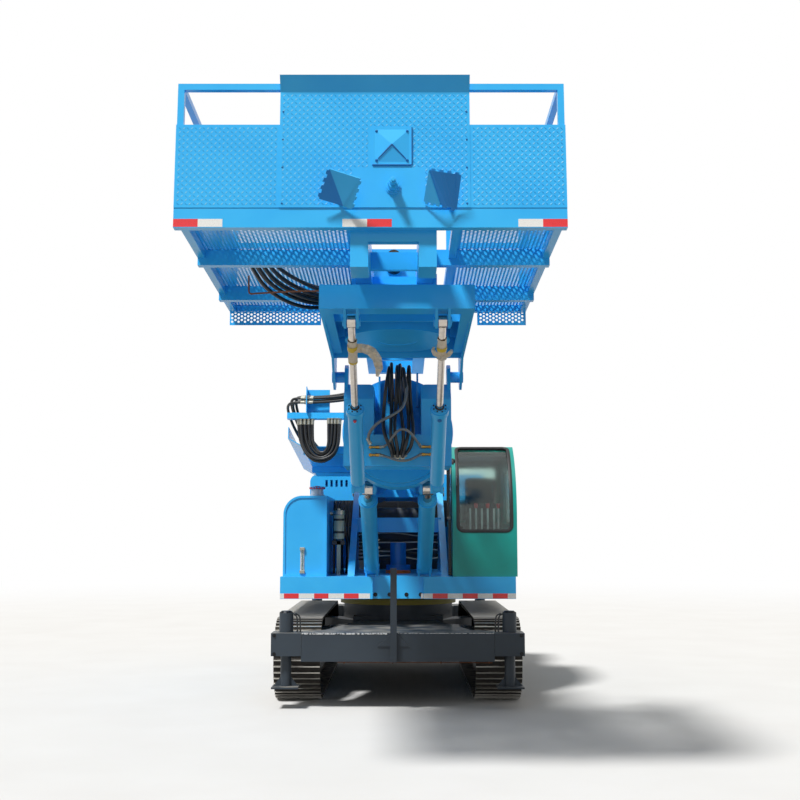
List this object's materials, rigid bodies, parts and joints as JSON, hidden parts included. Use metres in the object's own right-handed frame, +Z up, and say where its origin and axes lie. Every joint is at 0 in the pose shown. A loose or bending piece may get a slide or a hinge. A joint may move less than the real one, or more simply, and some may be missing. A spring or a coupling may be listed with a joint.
{
  "type": "anchor drilling rig on tracks",
  "caption": "Tracked anchor drilling rig with a slewing deck, cab, telescopic boom and a tilting mast with a work platform.",
  "frame": {"origin": "on the ground, on the slewing axis of the upper structure", "axes": "+Z up, -Y the way the boom points at rest, +X the cab's side"},
  "size_m": [2.6329, 8.7272, 4.4409],
  "materials": {
    "blue_paint": "gloss sky-blue machine paint",
    "green_paint": "gloss teal cab paint",
    "dark_paint": "satin dark grey chassis paint",
    "track_steel": "bare and dusty track steel",
    "ring_yellow": "dirty yellow ring paint",
    "chrome_rod": "hard chrome rod",
    "glass": "clear safety glass",
    "black_plastic": "black moulded plastic",
    "seat_fabric": "dark seat cloth",
    "filter_can": "beige filter can",
    "hose_rubber": "black hose rubber",
    "bare_steel": "machined steel"
  },
  "bodies": {
    "chassis": {"car_body": "dark_paint", "slew_ring_outer": "ring_yellow", "tracks": "track_steel", "track_wheels": "track_steel", "track_frames": "dark_paint", "jack_frames": "dark_paint"},
    "upper": {"slew_ring_inner": "ring_yellow", "deck": "blue_paint", "boom_support": "blue_paint", "hydraulic_tank": "blue_paint", "engine_hood": "blue_paint", "engine_side_panels": "blue_paint", "engine_block": "dark_paint", "counterweight": "blue_paint", "slewing_motor": "blue_paint", "air_cleaner": "black_plastic", "return_filter": "filter_can", "cab_shell": "green_paint", "cab_glass": "glass", "cab_seat": "seat_fabric", "cab_console": "black_plastic", "deck_hoses": "hose_rubber"},
    "cab_door": {"cab_door": "green_paint", "cab_door_glass": "glass"},
    "boom": {"boom_outer": "blue_paint", "telescope_barrel": "blue_paint", "hose_tray": "blue_paint", "trough_hoses": "hose_rubber", "cross_hoses": "hose_rubber", "tray_hoses": "hose_rubber"},
    "boom_inner": {"boom_inner": "blue_paint", "telescope_rod": "chrome_rod"},
    "head": {"head_bracket": "blue_paint", "head_hoses": "hose_rubber"},
    "tilt_frame": {"tilt_frame": "blue_paint"},
    "sled": {"swing_sled": "blue_paint"},
    "mast": {"mast": "blue_paint", "platform_frame": "blue_paint", "platform_floor": "blue_paint", "platform_front_plate": "blue_paint", "platform_railing": "blue_paint", "platform_side_panels": "blue_paint", "drill_port_cover": "blue_paint", "front_claws": "blue_paint", "platform_hoses": "hose_rubber"},
    "rotary_head": {"rotary_head": "blue_paint"},
    "spindle": {"spindle": "bare_steel"},
    "luff_barrels": {"luff_barrels": "blue_paint"},
    "luff_rods": {"luff_rods": "chrome_rod"},
    "tilt_barrels": {"tilt_barrels": "blue_paint"},
    "tilt_rods": {"tilt_rods": "chrome_rod"},
    "jack_front_left": {"jack_leg_front_left": "dark_paint"},
    "jack_front_right": {"jack_leg_front_right": "dark_paint"},
    "jack_rear_left": {"jack_leg_rear_left": "dark_paint"},
    "jack_rear_right": {"jack_leg_rear_right": "dark_paint"}
  },
  "joints": [
    {"name": "slew", "type": "hinge", "parent": "chassis", "child": "upper", "pos_m": [0, 0, 0.9], "axis": [0, 0, 1], "continuous": true},
    {"name": "cab_door", "type": "hinge", "parent": "upper", "child": "cab_door", "pos_m": [1.214, -0.253, 1.4], "axis": [0, 0, 1], "range_deg": [0, 160]},
    {"name": "luff", "type": "hinge", "parent": "upper", "child": "boom", "pos_m": [0, 0.55, 2.1], "axis": [-1, 0, 0], "range_deg": [0, 40]},
    {"name": "telescope", "type": "slide", "parent": "boom", "child": "boom_inner", "axis": [0, -0.9947, 0.1028], "range_m": [0, 1.9]},
    {"name": "roll", "type": "hinge", "parent": "boom_inner", "child": "head", "pos_m": [0, 0.55, 2.1], "axis": [0, -0.9947, 0.1028], "range_deg": [-45, 45]},
    {"name": "tilt", "type": "hinge", "parent": "head", "child": "tilt_frame", "pos_m": [0, -3.69998, 2.89996], "axis": [1, 0, 0], "range_deg": [-3, 43]},
    {"name": "mast_swing", "type": "hinge", "parent": "tilt_frame", "child": "sled", "pos_m": [0, -4.39998, 3.23596], "axis": [0, 0.0558, 0.9984], "range_deg": [-30, 30]},
    {"name": "mast_slide", "type": "slide", "parent": "sled", "child": "mast", "axis": [0, -0.9984, 0.0558], "range_m": [0, 0.8]},
    {"name": "feed", "type": "slide", "parent": "mast", "child": "rotary_head", "axis": [0, -0.9984, 0.0558], "range_m": [-0.9, 0]},
    {"name": "spindle_spin", "type": "hinge", "parent": "rotary_head", "child": "spindle", "pos_m": [-0.03, -3.66434, 3.85385], "axis": [0, -0.9984, 0.0558], "continuous": true},
    {"name": "luff_barrel_turn", "type": "hinge", "parent": "upper", "child": "luff_barrels", "pos_m": [0, -1.3, 1.27], "axis": [-1, 0, 0], "range_deg": [0, 49.76]},
    {"name": "luff_rod_slide", "type": "slide", "parent": "luff_barrels", "child": "luff_rods", "axis": [0, -0.9104, 0.4138], "range_m": [0, 1.3374]},
    {"name": "tilt_barrel_turn", "type": "hinge", "parent": "head", "child": "tilt_barrels", "pos_m": [0, -3.97998, 1.98996], "axis": [1, 0, 0], "range_deg": [-4, 44.45]},
    {"name": "tilt_rod_slide", "type": "slide", "parent": "tilt_barrels", "child": "tilt_rods", "axis": [0, -0.7971, 0.6038], "range_m": [-0.7025, 0.06]},
    {"name": "jack_front_left", "type": "slide", "parent": "chassis", "child": "jack_front_left", "axis": [0, 0, -1], "range_m": [0, 0.3]},
    {"name": "jack_front_right", "type": "slide", "parent": "chassis", "child": "jack_front_right", "axis": [0, 0, -1], "range_m": [0, 0.3]},
    {"name": "jack_rear_left", "type": "slide", "parent": "chassis", "child": "jack_rear_left", "axis": [0, 0, -1], "range_m": [0, 0.3]},
    {"name": "jack_rear_right", "type": "slide", "parent": "chassis", "child": "jack_rear_right", "axis": [0, 0, -1], "range_m": [0, 0.3]}
  ],
  "couplings": [
    {"joint": "luff_barrel_turn", "follows": "luff", "ratio": 1.2314},
    {"joint": "luff_rod_slide", "follows": "luff", "m_per_rad": 1.9085},
    {"joint": "tilt_barrel_turn", "follows": "tilt", "ratio": 1.0221},
    {"joint": "tilt_rod_slide", "follows": "tilt", "m_per_rad": -0.92942}
  ]
}
